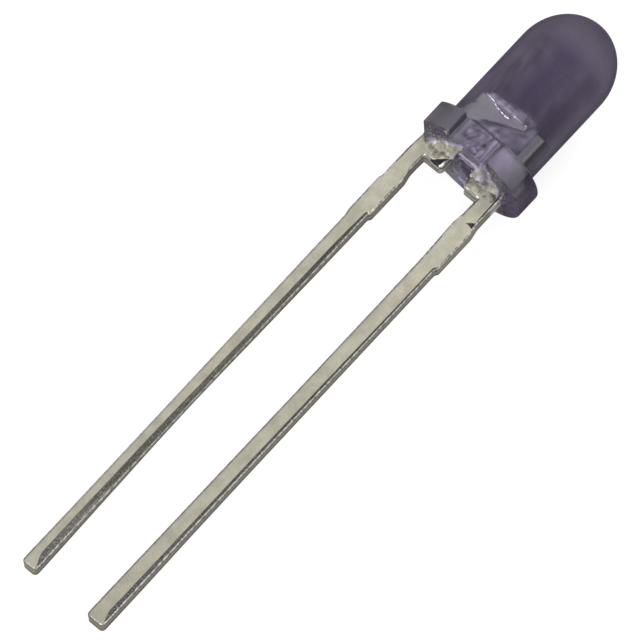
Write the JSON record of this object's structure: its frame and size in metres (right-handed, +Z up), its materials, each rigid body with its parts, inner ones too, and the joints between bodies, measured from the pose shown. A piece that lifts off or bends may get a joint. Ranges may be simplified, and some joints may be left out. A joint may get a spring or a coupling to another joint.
{
  "type": "photo sensor",
  "caption": "Round through-hole photo sensor with a dark domed epoxy lens, a notched collar and long square tinned leads, lying on its back",
  "frame": {"origin": "Middle of the underside of the bounding box, on the ground that the collar's rim and the lead tips rest on", "axes": "+X from the lead tips towards the lens dome, +Y towards the collector side with the collar's flat, +Z up, where the collar's notch faces. The lens axis rises from +X by 5.71 degrees, as the part lies"},
  "size_m": [0.0232, 0.0036, 0.0039],
  "materials": {
    "dark_epoxy": "moulded, clear but deeply tinted violet grey",
    "tinned_lead": "satin tin plate on stamped steel, grey sheared edges",
    "silver_epoxy": "cured silver-filled epoxy",
    "silicon": "polished silicon with aluminium pads",
    "gold_wire": "drawn fine gold wire"
  },
  "bodies": {
    "root": {"lens_body": "dark_epoxy", "collector_lead": "tinned_lead", "emitter_lead": "tinned_lead", "die_attach": "silver_epoxy", "sensor_chip": "silicon", "bond_wire": "gold_wire"}
  },
  "joints": []
}
